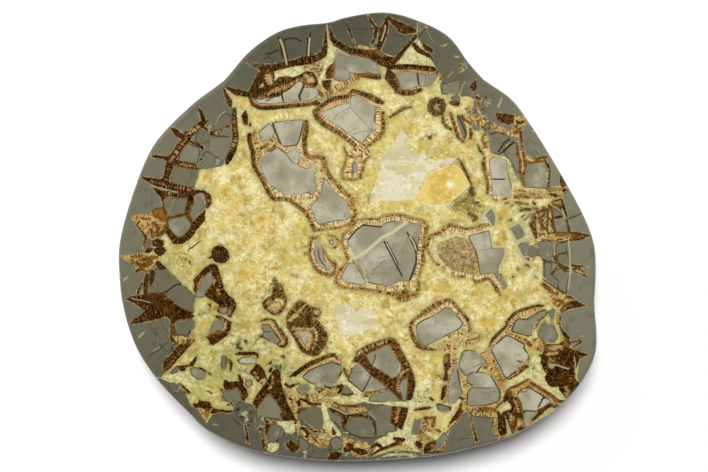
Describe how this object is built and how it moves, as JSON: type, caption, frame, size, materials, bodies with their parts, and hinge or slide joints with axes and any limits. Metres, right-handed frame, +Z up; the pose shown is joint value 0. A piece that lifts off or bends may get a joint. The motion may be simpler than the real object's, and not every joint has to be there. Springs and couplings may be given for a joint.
{
  "type": "septarian nodule",
  "caption": "Cut and polished septarian nodule lying on its rounded weathered back, with a crowned face, a rolled edge and crystal-lined hollows.",
  "frame": {"origin": "on the resting surface, under the middle of the stone's box", "axes": "+Z up, out of the polished face; +X along the stone's longest side; +Y towards the narrower, notched end"},
  "size_m": [0.3351, 0.3146, 0.06],
  "materials": {
    "stone": "polished section of grey mudstone, brown aragonite and yellow calcite, with a matt weathered back",
    "calcite": "glossy, slightly see-through yellow calcite crystals"
  },
  "bodies": {
    "root": {"septarian_nodule": "stone", "vug_crystals": "calcite", "pocket_crystals": "calcite"}
  },
  "joints": []
}
